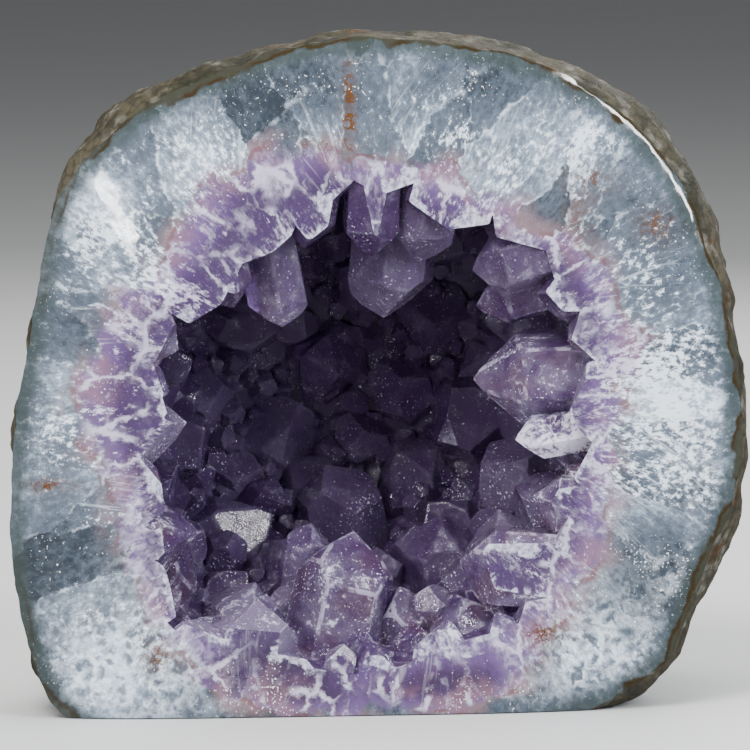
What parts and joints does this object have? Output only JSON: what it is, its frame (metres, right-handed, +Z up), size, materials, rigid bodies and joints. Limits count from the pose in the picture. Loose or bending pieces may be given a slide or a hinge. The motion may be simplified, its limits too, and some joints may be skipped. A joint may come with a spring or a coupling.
{
  "type": "amethyst geode half",
  "caption": "Half of a hollow stone standing on a sawn base: rough rind, polished band of pale quartz, and a crust of purple crystals inside.",
  "frame": {"origin": "on the surface that the sawn base rests on, under the middle of the stone", "axes": "+X to the viewer's right, the polished face looks along -Y, +Z up"},
  "size_m": [0.12, 0.064, 0.1094],
  "materials": {
    "banded_quartz": "pale quartz, polished in front, sawn below and rough brown-grey rind behind",
    "amethyst": "see-through purple quartz with natural glossy faces"
  },
  "bodies": {
    "root": {"geode_wall": "banded_quartz", "amethyst_crust": "amethyst"}
  },
  "joints": []
}
